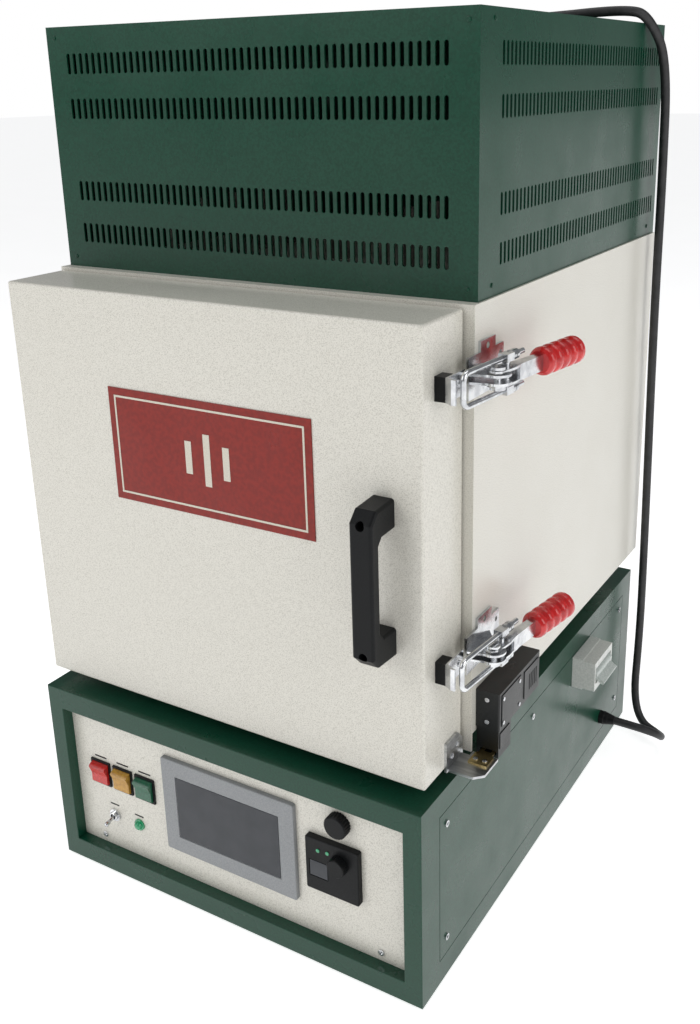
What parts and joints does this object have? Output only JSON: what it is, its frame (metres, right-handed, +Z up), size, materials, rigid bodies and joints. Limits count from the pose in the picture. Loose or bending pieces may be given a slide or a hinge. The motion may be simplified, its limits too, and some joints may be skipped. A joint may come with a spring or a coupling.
{
  "type": "front-loading pottery kiln",
  "caption": "Electric pottery kiln with a latched insulated door, a vented cover above and a control base below with screen, switches and breaker.",
  "frame": {"origin": "middle of the base footprint, on the surface it stands on", "axes": "+Z up, the door and the control panel face -Y, the latches are on +X"},
  "size_m": [0.6695, 0.715, 1.085],
  "materials": {
    "green_paint": "gloss green sheet paint",
    "tray_paint": "green sheet paint",
    "cream_paint": "cream speckled paint",
    "lining_board": "pale insulating fibre board",
    "seal_rope": "woven sealing rope",
    "element_metal": "dark grey heating element",
    "black_plastic": "black moulded plastic",
    "feet_rubber": "black rubber",
    "cord_rubber": "black cord sheath",
    "plated_steel": "bright plated steel",
    "bracket_steel": "bent steel",
    "key_brass": "brass plate",
    "red_plastic": "red moulded plastic",
    "amber_plastic": "amber moulded plastic",
    "green_plastic": "green moulded plastic",
    "white_plastic": "pale grey moulded plastic",
    "toggle_plastic": "pale moulded plastic",
    "grey_plastic": "grey moulded plastic"
  },
  "bodies": {
    "kiln": {"base_front_frame": "green_paint", "base_tray": "tray_paint", "base_deck": "green_paint", "base_side_left": "green_paint", "base_side_right": "green_paint", "side_cover_right": "green_paint", "foot_pads": "feet_rubber", "casing_screws": "plated_steel", "control_panel": "cream_paint", "touch_screen": "grey_plastic", "controller_housing": "black_plastic", "switch_bezels": "black_plastic", "toggle_bush": "plated_steel", "power_lamp": "green_plastic", "breaker_body": "white_plastic", "support_rails": "green_paint", "body_casing": "cream_paint", "body_front_plate": "cream_paint", "lining_floor": "lining_board", "lining_left": "lining_board", "lining_right": "lining_board", "lining_rear": "lining_board", "lining_roof": "lining_board", "hearth_plate": "lining_board", "heating_elements": "element_metal", "thermocouple": "element_metal", "cover_front": "green_paint", "cover_rear": "green_paint", "cover_side_right": "green_paint", "cover_side_left": "green_paint", "cover_lid": "green_paint", "body_hinge_leaves": "plated_steel", "latch_bases": "plated_steel", "safety_switch": "black_plastic", "cable_gland": "black_plastic", "power_cord": "cord_rubber", "power_cord_coil": "cord_rubber", "power_plug": "black_plastic"},
    "door": {"door_shell": "cream_paint", "door_plug": "lining_board", "door_seal": "seal_rope", "door_handle": "black_plastic", "door_hinge_leaves": "plated_steel", "catch_blocks": "black_plastic", "latch_catches": "plated_steel", "key_bracket": "bracket_steel", "switch_key": "key_brass"},
    "upper_lever": {"upper_latch_lever": "plated_steel", "upper_latch_grip": "red_plastic"},
    "lower_lever": {"lower_latch_lever": "plated_steel", "lower_latch_grip": "red_plastic"},
    "upper_bale": {"upper_latch_bale": "plated_steel"},
    "lower_bale": {"lower_latch_bale": "plated_steel"},
    "red_switch": {"red_rocker": "red_plastic"},
    "amber_switch": {"amber_rocker": "amber_plastic"},
    "green_switch": {"green_rocker": "green_plastic"},
    "toggle": {"toggle_lever": "plated_steel"},
    "dial": {"controller_dial": "black_plastic"},
    "cap": {"port_cap": "black_plastic"},
    "breaker_handle": {"breaker_toggles": "toggle_plastic"}
  },
  "joints": [
    {"name": "door_hinge", "type": "hinge", "parent": "kiln", "child": "door", "pos_m": [-0.293, -0.241, 0.53], "axis": [0, 0, -1], "range_deg": [0, 110]},
    {"name": "upper_latch", "type": "hinge", "parent": "kiln", "child": "upper_lever", "pos_m": [0.306, -0.237, 0.716], "axis": [0, 0, -1], "range_deg": [0, 120]},
    {"name": "lower_latch", "type": "hinge", "parent": "kiln", "child": "lower_lever", "pos_m": [0.306, -0.237, 0.409], "axis": [0, 0, -1], "range_deg": [0, 120]},
    {"name": "upper_draw_rod", "type": "hinge", "parent": "upper_lever", "child": "upper_bale", "pos_m": [0.306, -0.217, 0.716], "axis": [0, 0, 1], "range_deg": [0, 120]},
    {"name": "lower_draw_rod", "type": "hinge", "parent": "lower_lever", "child": "lower_bale", "pos_m": [0.306, -0.217, 0.409], "axis": [0, 0, 1], "range_deg": [0, 120]},
    {"name": "toggle_tilt", "type": "hinge", "parent": "kiln", "child": "toggle", "pos_m": [-0.192, -0.332, 0.0825], "axis": [-1, 0, 0], "range_deg": [0, 28]},
    {"name": "dial_turn", "type": "hinge", "parent": "kiln", "child": "dial", "pos_m": [0.165, -0.338, 0.1515], "axis": [0, 1, 0], "range_deg": [0, 270]},
    {"name": "cap_turn", "type": "hinge", "parent": "kiln", "child": "cap", "pos_m": [0.162, -0.33, 0.2015], "axis": [0, 1, 0], "range_deg": [0, 90]},
    {"name": "breaker_handle_turn", "type": "hinge", "parent": "kiln", "child": "breaker_handle", "pos_m": [0.302, 0.097, 0.206], "axis": [0, -1, 0], "range_deg": [0, 70]},
    {"name": "red_switch_tilt", "type": "hinge", "parent": "kiln", "child": "red_switch", "pos_m": [-0.2085, -0.33, 0.143], "axis": [-1, 0, 0], "range_deg": [0, 20]},
    {"name": "amber_switch_tilt", "type": "hinge", "parent": "kiln", "child": "amber_switch", "pos_m": [-0.171, -0.33, 0.143], "axis": [-1, 0, 0], "range_deg": [0, 20]},
    {"name": "green_switch_tilt", "type": "hinge", "parent": "kiln", "child": "green_switch", "pos_m": [-0.1335, -0.33, 0.143], "axis": [-1, 0, 0], "range_deg": [0, 20]}
  ],
  "couplings": [
    {"joint": "upper_draw_rod", "follows": "upper_latch", "ratio": 1},
    {"joint": "lower_draw_rod", "follows": "lower_latch", "ratio": 1}
  ]
}
